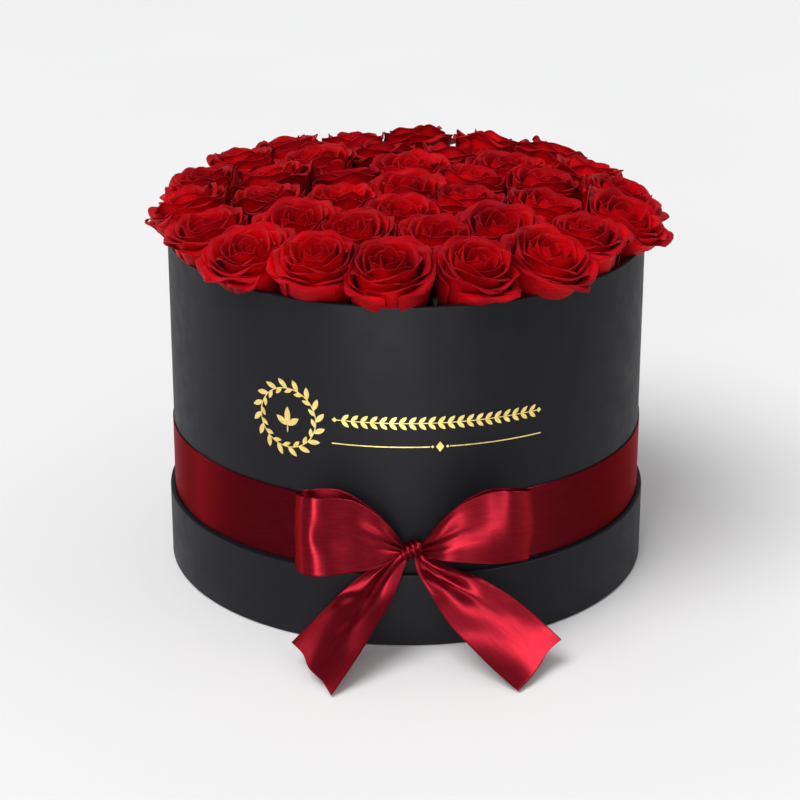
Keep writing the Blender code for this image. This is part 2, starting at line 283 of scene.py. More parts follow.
# THE FOIL.  Bright gold leaf hot-stamped into the side paper: a garland of leaves on a thin ring, a
# border of paired leaves along a stem, and a finer rule with a diamond in its middle.
def foil_stock():
    """Smooth leaf gold, slightly mottled where it took the paper's grain."""
    foil, tree, skin = blank("gold_foil", Metallic=0.92, Specular_IOR_Level=0.6)
    place = where(tree)
    mottle = noise(tree, place, 420, 4)
    tree.links.new(ramp(tree, mottle, (0.3, (0.80, 0.56, 0.15)), (0.7, (1.00, 0.80, 0.32))),
                   skin.inputs["Base Color"])
    tree.links.new(ramp(tree, mottle, (0.3, 0.34), (0.7, 0.48)), skin.inputs["Roughness"])
    relief(tree, skin, noise(tree, place, 2600, 3), 0.00003)
    return foil


def loft(rows, wide, first=0):
    """Faces of a closed solid through so many rings of points, each of the same number, with flat ends."""
    faces = [tuple(first + n for n in (i * wide + j, i * wide + (j + 1) % wide,
                                       (i + 1) * wide + (j + 1) % wide, (i + 1) * wide + j))
             for i in range(rows - 1) for j in range(wide)]
    last = first + (rows - 1) * wide
    return faces + [tuple(range(first, first + wide))[::-1], tuple(range(last, last + wide))]


def leaf(foot, heading, long, wide):
    """A pointed leaf in the flat, as pairs of points across it."""
    foot, ahead = Vector(foot), Vector((math.cos(heading), math.sin(heading)))
    side = Vector((-ahead.y, ahead.x)) * wide / 2
    shares = [k / 7 for k in range(8)]
    return [(foot + ahead * long * t - side * (math.sin(math.pi * t) ** 0.8 + 0.02),
             foot + ahead * long * t + side * (math.sin(math.pi * t) ** 0.8 + 0.02)) for t in shares]


def line(start, end, half):
    """A thin level line, as pairs of points close enough together to bend round the wall."""
    count = max(2, round((end - start) / 3))
    return [(Vector((start + (end - start) * k / count, -half)), Vector((start + (end - start) * k / count, half)))
            for k in range(count + 1)]


def diamond(middle, half_long, half_tall):
    """A diamond, as pairs of points."""
    return [(Vector((middle + x * half_long, -half_tall * (1.02 - abs(x)))),
             Vector((middle + x * half_long, half_tall * (1.02 - abs(x))))) for x in (-1, -0.5, 0, 0.5, 1)]


def stamped(name, strips, angle, level):
    """Flat strips rolled onto the wall of the box, and given the foil's thickness."""
    wall, thick = reach("box_side_paper")[0] + 0.03, 0.14
    verts, faces = [], []
    for strip in strips:
        faces += loft(len(strip), 4, len(verts))
        for low, high in strip:
            for point, out in ((low, wall), (low, wall + thick), (high, wall + thick), (high, wall)):
                around = angle + point.x / wall
                verts.append((out * math.cos(around), out * math.sin(around), level + point.y))
    made = piece(name, verts, faces, gold_foil, "box", sharp=30)


def garland():
    """Leaves that follow each other round a ring, long ones outside and short ones inside."""
    ring, leaves = 17.4, 16
    strips = [[(Vector((r * math.cos(a), r * math.sin(a))) * (ring - 0.3) / r,
                Vector((r * math.cos(a), r * math.sin(a))) * (ring + 0.3) / r)
               for r, a in [(1.0, math.tau * k / 72) for k in range(73)]]]
    for k in range(leaves):
        for long, wide, lean, shift in ((7.4, 3.0, 0.72, 0.0), (5.6, 2.3, -0.62, 0.5)):
            around = math.tau * (k + shift) / leaves
            foot = (ring * math.cos(around), ring * math.sin(around))
            strips.append(leaf(foot, around + math.pi / 2 - lean, long, wide))
    for heading, long in ((math.pi / 2, 11.0), (math.radians(35), 8.5), (math.radians(145), 8.5)):
        strips.append(leaf((0, -4.5), heading, long, 3.6))
    strips.append(leaf((0, -4.0), -math.pi / 2, 5.0, 0.9))
    return strips


def vine(half_long):
    """Paired leaves along a stem, with a diamond at each end."""
    strips = [line(-half_long + 3, half_long - 3, 0.26), diamond(-half_long + 1.6, 1.5, 1.5),
              diamond(half_long - 1.6, 1.5, 1.5)]
    pairs = 21
    for k in range(pairs):
        foot = -half_long + 5.5 + (2 * half_long - 13.5) * k / (pairs - 1)
        for heading in (0.72, -0.72):
            strips.append(leaf((foot, 0), heading, 5.6, 2.3))
    return strips


GARLAND_ANGLE, GARLAND_LEVEL = math.radians(-118.0), 131.0
BORDER_ANGLE, BORDER_LEVEL, RULE_LEVEL = math.radians(-82.5), 134.0, 120.0
BORDER_HALF = 60.0

gold_foil = foil_stock()
stamped("foil_wreath", garland(), GARLAND_ANGLE, GARLAND_LEVEL)
stamped("foil_border", vine(BORDER_HALF), BORDER_ANGLE, BORDER_LEVEL)
stamped("foil_rule", [line(-BORDER_HALF, -5.5, 0.32), line(5.5, BORDER_HALF, 0.32), diamond(0, 2.2, 3.0),
                      diamond(-4.2, 0.9, 0.9), diamond(4.2, 0.9, 0.9)], BORDER_ANGLE, RULE_LEVEL)

# THE RISER.  A greyboard ring with a platform on it, loose in the foot of the box, which brings the
# flowers up to the rim.
RISER_WALL = 3

tube("riser_ring", RISER_WALL, greyboard, "riser")
disc("riser_platform", greyboard, "riser")

# THE LINER.  A black tray vacuum-formed from thin sheet plastic, with shallow upright flutes that
# stiffen its side, a drafted wall and a rolled bead at the edge.  It keeps the water off the board.
def liner_stock():
    """Thin glossy sheet with faint draw marks."""
    plastic, tree, skin = blank("liner_plastic", Specular_IOR_Level=0.5)
    place = where(tree)
    draw = noise(tree, stretched(tree, place, (1, 1, 0.15)), 260, 3)
    tree.links.new(ramp(tree, draw, (0.3, (0.017, 0.017, 0.019)), (0.7, (0.027, 0.027, 0.030))),
                   skin.inputs["Base Color"])
    tree.links.new(ramp(tree, draw, (0.3, 0.20), (0.7, 0.34)), skin.inputs["Roughness"])
    relief(tree, skin, draw, 0.00015)
    return plastic


def build_liner():
    """The tray's wall is a millimetre thick, 2 mm narrower at its floor, and fluted between floor and bead."""
    out, low, top = reach("liner")
    sheet, bead, draft, flutes = 1.0, 1.2, 2.0, 60
    floor = out - bead - draft

    def fluted(angle, radius, height):
        share = min(1.0, max(0.0, (height - low - 6) / 8), max(0.0, (top - 6 - height) / 8))
        return radius - (0.7 * share * max(0.0, math.cos(flutes * angle)) if radius > floor - 3 else 0.0)

    levels = [low + 3, low + 8, low + 14, top - 14, top - 8, top - 5]
    slope = (out - bead - floor) / (top - low)
    outer = [(floor + slope * (z - low), z) for z in levels]
    inner = [(r - sheet, z) for r, z in outer]
    outline = [(0, low + sheet), (floor - sheet, low + sheet), *inner, (out - bead - sheet, top), (out, top),
               (out, top - bead), (out - bead, top - bead), *outer[::-1], (floor, low), (0, low)]
    turned("liner", outline, liner_stock(), "insert", 0.5, fluted, 720)


build_liner()

# THE FOAM.  A cut cylinder of dark green floral foam, soaked, with a hole pushed in it for each stem.
# It is brittle and open-celled, and its top is pitted and crumbly.
def foam_stock():
    """Wet open-celled foam, painted darker in its pits as painted shade."""
    foam, tree, skin = blank("green_foam", Roughness=0.9, Specular_IOR_Level=0.3)
    place = where(tree)
    pits = node(tree, "TexVoronoi", {"Vector": place, "Scale": 900.0}).outputs["Distance"]
    crumbs = noise(tree, place, 300, 6, 0.7)
    tint = ramp(tree, crumbs, (0.3, (0.010, 0.045, 0.018)), (0.75, (0.035, 0.115, 0.045)))
    # painted shade: the colour darkens inside each pit
    tree.links.new(mix(tree, ramp(tree, pits, (0.05, 0.8), (0.4, 0.0)), tint, (0.004, 0.018, 0.008)),
                   skin.inputs["Base Color"])
    under = relief(tree, skin, crumbs, 0.0012)
    relief(tree, skin, pits, 0.0005, under)
    return foam


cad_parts["foam"].data.materials[0] = foam_stock()

# THE ROSES.  Cut red roses, open to a cup, set in rings that lean further out towards the rim. Each has
# a green stem and calyx, five sepals, and petals set a golden angle apart round the heart. Where heads
# touch, they press each other flat, and the outer ring spills over the rim.
RINGS = [(1, 0.0, 0.0, 190.0, 0.0), (6, 41.6, 5.0, 189.5, -94.0), (12, 82.2, 10.0, 188.0, -79.0),
         (18, 123.6, 16.0, 186.0, -94.0)]
BELLY = 26.5             # height of a head's widest part above its calyx
GOLDEN = math.radians(137.508)
PETALS = 22
ACROSS, ALONG = 16, 18   # a petal's grid
NEIGHBOUR = 62           # calyxes nearer than this touch heads
GIVE = 5.5               # how far a pressed petal may still bulge
UNEVEN = 2.2             # how far the plane between two heads strays from the middle


def rose_seats():
    """Each rose's own axes: origin at the calyx, Z up the stem and out of the flower's heart."""
    draw = random.Random(7)
    seats = []
    for count, ring, lean, level, first in RINGS:
        tilt = math.radians(lean)
        seat = ring - BELLY * math.sin(tilt)
        for i in range(count):
            around = math.radians(first + 360.0 * i / count)
            centre = Vector((seat * math.cos(around), seat * math.sin(around), level + draw.uniform(-0.8, 0.8)))
            leaned = Euler((0.0, tilt, around), "XYZ").to_matrix().to_4x4()
            seats.append(Matrix.Translation(centre) @ leaned)
    return seats


def petal(draw, share, spread, number, opened):
    """One petal as a grid of points, in the rose's axes. Share is 0 at the heart and 1 outside.

    Its section from claw to rim is a bowl, an upright cheek and a rolled rim. The points are found by
    walking along that section, whose slope is known everywhere.
    """
    across = np.linspace(-1, 1, ACROSS + 1)
    belly = 1.9 + (spread - 1.9) * share ** (0.92 - 0.22 * opened) * draw.uniform(0.95, 1.05)
    claw = 1.0 + 3.5 * share
    foot = 7.0 * (1 - share)
    bowl = (belly - claw) / 0.62
    top = 37.0 + 3.5 * math.sin(math.pi * min(1, share * 1.2)) - (3.0 + 2.5 * opened) * share + draw.uniform(-1, 1)
    lean = np.interp(share, [0, 0.25, 0.6, 0.85, 1], [97, 93, 82, 67, 54]) - 8 * opened * share + draw.uniform(-3, 3)
    roll = np.interp(share, [0, 0.3, 0.7, 1], [6, 25, 70, 115]) * draw.uniform(0.7, 1.25)
    lip = np.interp(share, [0, 0.5, 1], [2.0, 4.0, 6.5])
    cheek = max(4.0, top - foot - 0.75 * bowl) * (1 - 0.34 * np.abs(across) ** 2.4)
    wave = draw.uniform(0, math.tau)
    cheek = cheek * (1 + 0.030 * np.sin(1.6 * across * math.pi + wave))
    curl = np.radians(roll) * (0.60 + 0.55 * np.exp(-((np.abs(across) - 0.55) / 0.28) ** 2))
    steps = [("bowl", 5), ("cheek", 6), ("lip", ALONG - 11)]
    r = np.full(ACROSS + 1, claw)
    z = np.full(ACROSS + 1, foot)
    rows, height_share = [np.stack([r, z])], [0.0]
    for part, count in steps:
        for k in range(count):
            t = (k + 0.5) / count
            if part == "bowl":
                slope, long = np.radians(18 + 72 * t * t * (3 - 2 * t)) * np.ones(ACROSS + 1), bowl / count
            elif part == "cheek":
                slope, long = np.radians(90 + (lean - 90) * t ** 1.4) * np.ones(ACROSS + 1), cheek / count
            else:
                slope, long = np.radians(lean) - curl * t ** 1.15, lip / count
            r = r + np.cos(slope) * long
            z = z + np.sin(slope) * long
            rows.append(np.stack([r, z]))
            height_share.append({"bowl": 0.0, "cheek": 0.35, "lip": 0.75}[part]
                                + {"bowl": 0.35, "cheek": 0.40, "lip": 0.25}[part] * (k + 1) / count)
    rows = np.array(rows)
    up = np.array(height_share)[:, None]
    ruffle = np.sin(1.7 * across * math.pi + wave * 2) * 0.7 + np.sin(3.6 * across * math.pi + wave) * 0.22
    r = rows[:, 0] + (0.25 + 1.1 * share) * ruffle * up ** 3 + 0.5 * across * share
    z = rows[:, 1] + (0.3 + 0.9 * share) * np.cos(2.1 * across * math.pi + wave * 3) * up ** 4
    tip, way = draw.uniform(0.0, 0.07) * share, draw.uniform(0, math.tau)
    half = np.radians(np.interp(share, [0, 0.15, 0.5, 1], [130, 112, 86, 62])) * draw.uniform(0.92, 1.08)
    narrowing = 1 - 0.30 * np.clip((up - 0.72) / 0.28, 0, 1) ** 2.2
    angle = number * GOLDEN + draw.uniform(-0.2, 0.2) + half * narrowing * across
    z = z + tip * r * np.cos(angle - way)
    points = np.stack([r * np.cos(angle), r * np.sin(angle), z], axis=-1)
    return points.reshape(-1, 3), np.repeat(up, ACROSS + 1, axis=1).ravel(), np.tile(across, len(up))


def in_world(seat, points):
    """Points from a rose's axes to the whole object's, in millimetres."""
    turned_by = np.array(seat.to_3x3())
    return points @ turned_by.T + np.array(seat.translation)


def pressed(points, seat, others, give):
    """Where two heads meet, both flatten against the plane between them and ride up a little."""
    axis = np.array(seat.col[2])[:3]
    own = np.array(seat.translation)
    mine = own[:2] + axis[:2] / axis[2] * (points[:, 2:] - own[2])
    for other, shift in others:
        tip, root = np.array(other.col[2])[:3], np.array(other.translation)
        theirs = root[:2] + tip[:2] / tip[2] * (points[:, 2:] - root[2])
        apart = theirs - mine
        gap = np.linalg.norm(apart, axis=1)
        out = ((points[:, :2] - mine) * apart).sum(axis=1) / gap
        limit = gap / 2 + shift - give
        over = np.maximum(0.0, out - limit)
        held = give * np.tanh(over / give)
        points[:, :2] -= (apart / gap[:, None]) * (over - held)[:, None]
        points[:, 2] += 0.25 * (over - held)
    return points


def over_rim(points):
    """Petals of the outer ring stay inside the wall below the rim, or lie over it."""
    wall, rim = 135.2, 202.2
    far = np.linalg.norm(points[:, :2], axis=1)
    past = (far > wall) & (points[:, 2] < rim)
    lift = rim - points[:, 2]
    onto = past & (lift < 1.6 * (far - wall) + 1.5)
    points[onto, 2] = rim
    inside = past & ~onto
    points[inside, :2] *= (wall / far[inside])[:, None]
    return points


def rose_stock():
    """Petal: velvety, brightest inside the cup, painted shade darkening it towards the claw, deeper in veins, with a
    fine burgundy rim.
    """
    red, tree, skin = blank("rose_petal", Roughness=0.55, Specular_IOR_Level=0.10,
                            Specular_Tint=(1.0, 0.35, 0.4, 1.0), Sheen_Weight=0.10,
                            Sheen_Roughness=0.4, Sheen_Tint=(1.0, 0.12, 0.2, 1.0))
    place = where(tree)
    up, side, depth = marked(tree, "up"), marked(tree, "side"), marked(tree, "depth")
    along = node(tree, "CombineXYZ", {"X": sums(tree, "MULTIPLY", side, 22.0),
                                      "Y": sums(tree, "MULTIPLY", up, 2.0), "Z": depth}).outputs[0]
    veins = noise(tree, along, 1.0, 4, 0.6)
    patches = noise(tree, place, 34, 3)
    fresh = ramp(tree, patches, (0.36, (0.42, 0.0004, 0.0030)), (0.64, (0.80, 0.0008, 0.0040)))
    veined = mix(tree, ramp(tree, veins, (0.45, 0.0), (0.75, 0.35)), fresh, (0.20, 0.0004, 0.0040))
    # painted shade: the petal darkens towards its claw, deep in the cup
    heart = mix(tree, ramp(tree, up, (0.10, 0.90), (0.60, 0.0)), veined, (0.07, 0.0004, 0.0020))
    lip = mix(tree, ramp(tree, up, (0.74, 0.0), (0.97, 0.48)), heart, (0.26, 0.0009, 0.0080))
    edge = sums(tree, "ADD", up, sums(tree, "MULTIPLY", noise(tree, along, 0.5, 3), 0.10))
    rimmed = mix(tree, ramp(tree, edge, (0.985, 0.0), (1.06, 0.22)), lip, (0.12, 0.0008, 0.0070))
    tree.links.new(rimmed, skin.inputs["Base Color"])
    relief(tree, skin, sums(tree, "ADD", sums(tree, "MULTIPLY", veins, 0.7), noise(tree, place, 900, 3)), 0.00014)
    return red


def green_stock():
    """Stem, calyx and sepals: waxy leaf green, paler and redder in patches."""
    green, tree, skin = blank("rose_green", Roughness=0.42, Specular_IOR_Level=0.45)
    place = where(tree)
    tint = ramp(tree, noise(tree, place, 90, 4), (0.3, (0.035, 0.105, 0.020)), (0.6, (0.085, 0.190, 0.040)),
                (0.85, (0.150, 0.130, 0.045)))
    tree.links.new(tint, skin.inputs["Base Color"])
    relief(tree, skin, noise(tree, stretched(tree, place, (1, 1, 0.2)), 1200, 3), 0.0001)
    return green


def green_parts(draw, length):
    """Stem, thorns, calyx and sepals in the rose's axes, as one list of points and faces."""
    verts, faces = [], []

    def add(points, new):
        start = len(verts)
        verts.extend(points)
        faces.extend([tuple(start + i for i in face) for face in new])

    sides = 12
    section = [(2.3, -length), (2.5, -length * 0.55), (2.6, -14), (2.5, -6), (3.2, -2.5), (5.0, 1.0), (5.9, 4.0),
               (5.4, 7.0), (3.4, 8.5)]
    rings = [[(r * math.cos(math.tau * j / sides), r * math.sin(math.tau * j / sides), z) for j in range(sides)]
             for r, z in section]
    add([p for ring in rings for p in ring], loft(len(rings), sides))
    for _ in range(3):
        level, around = draw.uniform(-0.5, -0.25) * length, draw.uniform(0, math.tau)
        out = Vector((math.cos(around), math.sin(around), 0))
        side = Vector((-out.y, out.x, 0))
        root = out * 2.0 + Vector((0, 0, level))
        ring = [root + side * (1.0 * math.cos(a)) + Vector((0, 0, 2.2 * math.sin(a)))
                for a in [math.tau * k / 6 for k in range(6)]]
        tip = root + out * 2.8 - Vector((0, 0, 1.6))
        add([tuple(p) for p in ring] + [tuple(tip)], [(k, (k + 1) % 6, 6) for k in range(6)] + [(5, 4, 3, 2, 1, 0)])
    for k in range(5):
        around = math.tau * (k + draw.uniform(-0.1, 0.1)) / 5
        droop = draw.uniform(0.2, 1.0)
        out = Vector((math.cos(around), math.sin(around), 0))
        side = Vector((-out.y, out.x, 0))
        spine = [(5.0, 4.0), (8.5, 6.0), (12.0, 6.5 - 2 * droop), (15.0, 5.5 - 6 * droop), (17.5, 4.0 - 10 * droop)]
        widths = [3.2, 3.6, 2.6, 1.4, 0.15]
        rows = []
        for (far, z), half in zip(spine, widths):
            middle = out * far + Vector((0, 0, z))
            rows.append([tuple(middle + side * half + Vector((0, 0, 0.5))), tuple(middle + Vector((0, 0, 0.45))),
                         tuple(middle - side * half + Vector((0, 0, 0.5))), tuple(middle - Vector((0, 0, 0.25)))])
        add([p for row in rows for p in row], loft(len(rows), 4))
    return np.array(verts), faces


def build_roses():
    """Thirty-seven different roses from one rule."""
    foam_top = reach("foam")[2]
    seats = rose_seats()
    red, green = rose_stock(), green_stock()
    grid = [(i * (ACROSS + 1) + j, i * (ACROSS + 1) + j + 1, (i + 1) * (ACROSS + 1) + j + 1,
             (i + 1) * (ACROSS + 1) + j) for i in range(ALONG) for j in range(ACROSS)]
    per_petal = (ACROSS + 1) * (ALONG + 1)
    for number, seat in enumerate(seats, start=1):
        draw = random.Random(100 + number)
        outer_ring = number > 19
        spread = draw.uniform(25.0, 27.5) if outer_ring else draw.uniform(26.0, 29.5)
        opened = draw.uniform(0.4, 1.4) if outer_ring else draw.uniform(0.0, 1.2)
        spin = draw.uniform(0, math.tau)
        turned_to = Euler((draw.uniform(-0.15, 0.15), draw.uniform(-0.15, 0.15), spin)).to_matrix().to_4x4()
        tipped = Matrix.Translation((0, 0, draw.uniform(-1.6, 1.6))) @ seat @ turned_to
        count = PETALS + draw.choice((-2, 0, 2))
        points, up, side, depth = [], [], [], []
        for k in range(count):
            share = k / (count - 1)
            got = petal(draw, share, spread, k, opened)
            points.append(got[0])
            up.append(got[1])
            side.append(got[2])
            depth.append(np.full(per_petal, share * 9 + number))
        world = in_world(tipped, np.concatenate(points))
        near = []
        for other_number, other in enumerate(seats, start=1):
            apart = (other.translation - seat.translation).length
            if 1 < apart < NEIGHBOUR:
                sign = 1 if other_number > number else -1
                low, high = sorted((number, other_number))
                near.append((other, sign * random.Random(low * 100 + high).uniform(-UNEVEN, UNEVEN)))
        world = pressed(world, seat, near, GIVE)
        if outer_ring:
            world = over_rim(world)
        faces = [tuple(k * per_petal + i for i in face) for k in range(count) for face in grid]
        bloom = piece(f"rose_{number:02d}_bloom", world, faces, red, "insert", [f"rose_{number:02d}"],
                      {"up": np.concatenate(up), "side": np.concatenate(side), "depth": np.concatenate(depth)}, 180)
        thick = bloom.modifiers.new("thickness", "SOLIDIFY")
        thick.thickness, thick.offset = 0.0003, 0.0
        long = (seat.translation.z - foam_top + 46.0) / seat.col[2].z
        verts, green_faces = green_parts(draw, long - 1.0)
        stem = piece(f"rose_{number:02d}_stem", in_world(seat, verts), green_faces, green, "insert")


build_roses()

# THE RIBBON.  One length of double-faced red satin, 43.5 mm wide, drawn tight round the box just above
# the lid and tied in front. It gathers into pleats at the knot; it is shown here stretch by stretch.
RIBBON_WIDTH = 43.5
KNOT = Vector((2.9, -152.0, 64.0))


def satin_stock(name, depth):
    """Close-set warp floats. They shine in a streak across the ribbon wherever they turn to the light, and are
    dark red elsewhere. Depth scales the whole tone; below 1 it is painted shade, a darker copy of the same
    satin. Both edges are firm woven selvedge."""
    satin, tree, skin = blank(name, Roughness=0.41, Metallic=0.90, Specular_IOR_Level=0.22,
                              Specular_Tint=(1.0, 0.30, 0.36, 1.0), Anisotropic=0.94)
    along, across = marked(tree, "along"), marked(tree, "across")
    tree.links.new(node(tree, "Tangent", direction_type="UV_MAP", uv_map="weave").outputs[0], skin.inputs["Tangent"])
    cloth = node(tree, "CombineXYZ", {"X": along, "Y": sums(tree, "MULTIPLY", across, RIBBON_WIDTH)}).outputs[0]
    threads = noise(tree, stretched(tree, cloth, (0.45, 7.0, 1.0)), 1.0, 2)
    slubs = noise(tree, stretched(tree, cloth, (0.10, 0.9, 1.0)), 1.0, 3)
    # depth below 1 darkens the whole tone: painted shade
    tone = ramp(tree, slubs, (0.3, (0.165 * depth, 0.0055 * depth, 0.0115 * depth)),
                (0.7, (0.220 * depth, 0.0092 * depth, 0.0180 * depth)))
    threaded = mix(tree, ramp(tree, threads, (0.35, 0.0), (0.7, 0.30)), tone, (0.14 * depth, 0.002, 0.006))
    edge = sums(tree, "ABSOLUTE", sums(tree, "SUBTRACT", across, 0.5))
    bound = mix(tree, ramp(tree, edge, (0.472, 0.0), (0.480, 0.45)), threaded, (0.11 * depth, 0.0015, 0.006))
    tree.links.new(bound, skin.inputs["Base Color"])
    under = relief(tree, skin, ramp(tree, edge, (0.466, 0.0), (0.476, 1.0)), 0.00010)
    relief(tree, skin, threads, 0.00003, under)
    return satin


def woven(made, along, across):
    """Lays the weave on a piece: how far along and across the ribbon each point is."""
    lay = np.stack([np.asarray(across, float), np.asarray(along, float) / RIBBON_WIDTH], axis=-1)
    corners = np.empty(len(made.data.loops), np.int32)
    made.data.loops.foreach_get("vertex_index", corners)
    made.data.uv_layers.new(name="weave").data.foreach_set("uv", lay[corners].ravel())


def between(points, t):
    """A smooth curve through a list of points, at a share of the way along."""
    place = t * (len(points) - 1)
    i = min(int(place), len(points) - 2)
    u = place - i
    a, b, c, d = (points[max(0, min(len(points) - 1, i + n))] for n in (-1, 0, 1, 2))
    return 0.5 * (2 * b + (c - a) * u + (2 * a - 5 * b + 4 * c - d) * u * u + (3 * b - a - 3 * c + d) * u ** 3)


def ribbon(name, rows, steps, pleat=(1.2, 9.0), ends=(True, True), seed=1, cut=None, cloth=None):
    """A stretch of ribbon through rows of (one edge, other edge, swells at the quarter points between).

    Pleats of that depth stand at the ends that are tied, and fade over that many millimetres. A cut end runs
    past the last row by so much at each quarter of the width.
    """
    draw = random.Random(seed)
    rows = [(np.array(a, float), np.array(b, float), (swells + [(0, 0, 0)])[0]) for a, b, *swells in rows]
    middles = [(a + b) / 2 for a, b, _ in rows]
    cages = []
    for i, (a, b, swells) in enumerate(rows):
        ahead = middles[min(i + 1, len(rows) - 1)] - middles[max(i - 1, 0)]
        out = np.cross(b - a, ahead)
        out /= np.linalg.norm(out)
        cages.append([a + (b - a) * k / 4 + out * swell for k, swell in enumerate((0, *swells, 0))])
    many, wide = steps, 24
    grid = np.array([[between([np.array(between([cage[k] for cage in cages], i / many)) for k in range(5)], j / wide)
                      for j in range(wide + 1)] for i in range(many + 1)])
    if cut:
        past = np.array([between(cut, j / wide) for j in range(wide + 1)])
        for k in range(10):
            ahead = grid[many - k] - grid[many - k - 1]
            ahead /= np.linalg.norm(ahead, axis=1, keepdims=True)
            grid[many - k] += ahead * past[:, None] * (1 - k / 10) ** 2
    lengths = np.linalg.norm(np.diff(grid[:, wide // 2], axis=0), axis=1)
    run = np.concatenate([[0], np.cumsum(lengths)])
    away = np.full(many + 1, 1e9)
    if ends[0]:
        away = np.minimum(away, run)
    if ends[1]:
        away = np.minimum(away, run[-1] - run)
    out = np.cross(np.gradient(grid, axis=1), np.gradient(grid, axis=0))
    out /= np.linalg.norm(out, axis=2, keepdims=True) + 1e-9
    share = np.linspace(0, 1, wide + 1)
    folds = sum(draw.uniform(0.5, 1.0) * np.sin(math.tau * count * share + draw.uniform(0, math.tau))
                for count in (2.0, 3.5, 5.0))
    drift = np.exp(-away / pleat[1])[:, None] + 0.16 * np.exp(-away / (pleat[1] * 4))[:, None]
    grid += out * (pleat[0] * drift * folds[None, :] * np.sin(math.pi * share)[None, :] ** 0.5)[..., None]
    faces = [(i * (wide + 1) + j, i * (wide + 1) + j + 1, (i + 1) * (wide + 1) + j + 1, (i + 1) * (wide + 1) + j)
             for i in range(many) for j in range(wide)]
    made = piece(name, grid.reshape(-1, 3), faces, cloth or red_satin, "box",
                 marks={"along": np.repeat(run, wide + 1), "across": np.tile(share, many + 1)}, sharp=180)
    woven(made, np.repeat(run, wide + 1), np.tile(share, many + 1))
    thick = made.modifiers.new("thickness", "SOLIDIFY")
    thick.thickness, thick.offset = 0.00035, 0.0
    return made


def ease(t):
    """From 0 to 1, slow at both ends."""
    t = max(0.0, min(1.0, t))
    return t * t * (3 - 2 * t)


def band_rows():
    """Round the box and in towards the knot, where it narrows and stands off the wall."""
    clear, pinch, narrow, lift, stand = 9.0, 62.0, 9.0, 40.0, 7.0
    low = 44.9
    radius = reach("box_side_paper")[0] + 0.45
    around, rows, many = math.tau * radius, [], 180
    for i in range(many + 1):
        arc = clear + (around - 2 * clear) * i / many
        back = min(arc, around - arc) - clear
        opened = ease(back / pinch)
        half = (narrow + (RIBBON_WIDTH - 0.5 - narrow) * opened) / 2
        far = radius + stand * (1 - ease(back / lift)) + (LAP_STEP if 0.238 < i / many < 0.262 else 0)
        level = KNOT.z + (low + RIBBON_WIDTH / 2 - KNOT.z) * opened + 0.25 * math.sin(arc / 37)
        angle = (arc + KNOT.x) / radius - math.pi / 2
        x, y = far * math.cos(angle), far * math.sin(angle)
        rows.append(((x, y, level - half), (x, y, level + half)))
    return rows


# The band gets a copy of the satin at about half the tone: painted shade, the same cloth darkened.
red_satin, shade_painted_satin = satin_stock("red_satin", 1.0), satin_stock("shade_painted_satin", 0.52)
ribbon("ribbon_band", band_rows(), 420, (0.9, 14.0), seed=4, cloth=shade_painted_satin)

LOOP_LEFT = [
    ((-2.2, -153.0, 61.5), (-1.8, -153.0, 66.8)),
    ((-15.0, -157.5, 55.2), (-11.5, -156.0, 82.5), (0.6, -0.6, 0.6)),
    ((-30.0, -161.5, 54.2), (-28.0, -157.8, 95.5), (-0.4, -1.6, -0.8)),
    ((-44.0, -165.8, 54.4), (-46.5, -161.8, 99.4), (0.3, -0.8, 0.8)),
    ((-54.5, -164.8, 54.2), (-55.0, -160.6, 99.3), (0.6, 1.0, 1.2)),
    ((-60.0, -156.0, 53.3), (-59.6, -153.0, 98.0), (0.5, 1.0, 1.0)),
    ((-61.5, -148.0, 52.8), (-60.0, -147.0, 96.5), (0.0, 0.5, 0.5)),
    ((-55.0, -142.3, 53.0), (-53.0, -142.0, 95.8)),
    ((-38.0, -142.5, 53.5), (-36.0, -142.8, 95.5)),
    ((-18.0, -147.5, 56.0), (-17.0, -148.5, 85.0), (-0.5, 1.0, -0.5)),
    ((-2.2, -150.5, 61.5), (-2.0, -150.5, 66.5)),
]
LOOP_RIGHT = [
    ((8.2, -153.0, 61.0), (7.6, -153.0, 66.8)),
    ((19.0, -160.0, 61.0), (17.0, -157.0, 81.0), (-1.0, 0.8, -1.0)),
    ((33.0, -159.6, 59.6), (30.0, -160.5, 95.5), (-0.8, 0.3, 0.5)),
    ((49.0, -156.8, 57.6), (45.0, -164.5, 104.0), (-0.8, -1.2, -0.5)),
    ((61.0, -152.0, 56.8), (58.0, -165.5, 105.0), (-1.2, -2.0, -1.0)),
    ((67.5, -146.6, 55.6), (67.5, -156.0, 101.5), (-1.5, -2.5, -1.5)),
    ((62.0, -142.2, 52.2), (60.0, -143.0, 97.0)),
    ((43.0, -143.0, 52.6), (42.0, -142.5, 95.0)),
    ((24.0, -147.5, 56.0), (23.0, -148.0, 84.0), (0.5, -1.0, 0.5)),
    ((8.2, -150.5, 61.5), (8.0, -150.5, 66.5)),
]
TAIL_LEFT = [
    ((-3.5, -151.5, 60.5), (1.0, -152.5, 60.5)),
    ((-20.0, -151.5, 51.5), (-2.6, -156.0, 51.0), (2.5, -1.0, -5.0)),
    ((-33.6, -153.0, 41.0), (-8.5, -164.5, 38.5), (2.5, 2.0, -3.5)),
    ((-43.9, -156.0, 31.1), (-16.0, -174.0, 29.0), (-2.0, 3.0, -1.0)),
    ((-54.1, -160.0, 21.6), (-27.0, -188.0, 16.0), (-2.0, -0.5, 1.5)),
    ((-63.7, -166.0, 13.8), (-40.8, -203.5, 1.2), (0.5, -1.5, 0.5)),
]
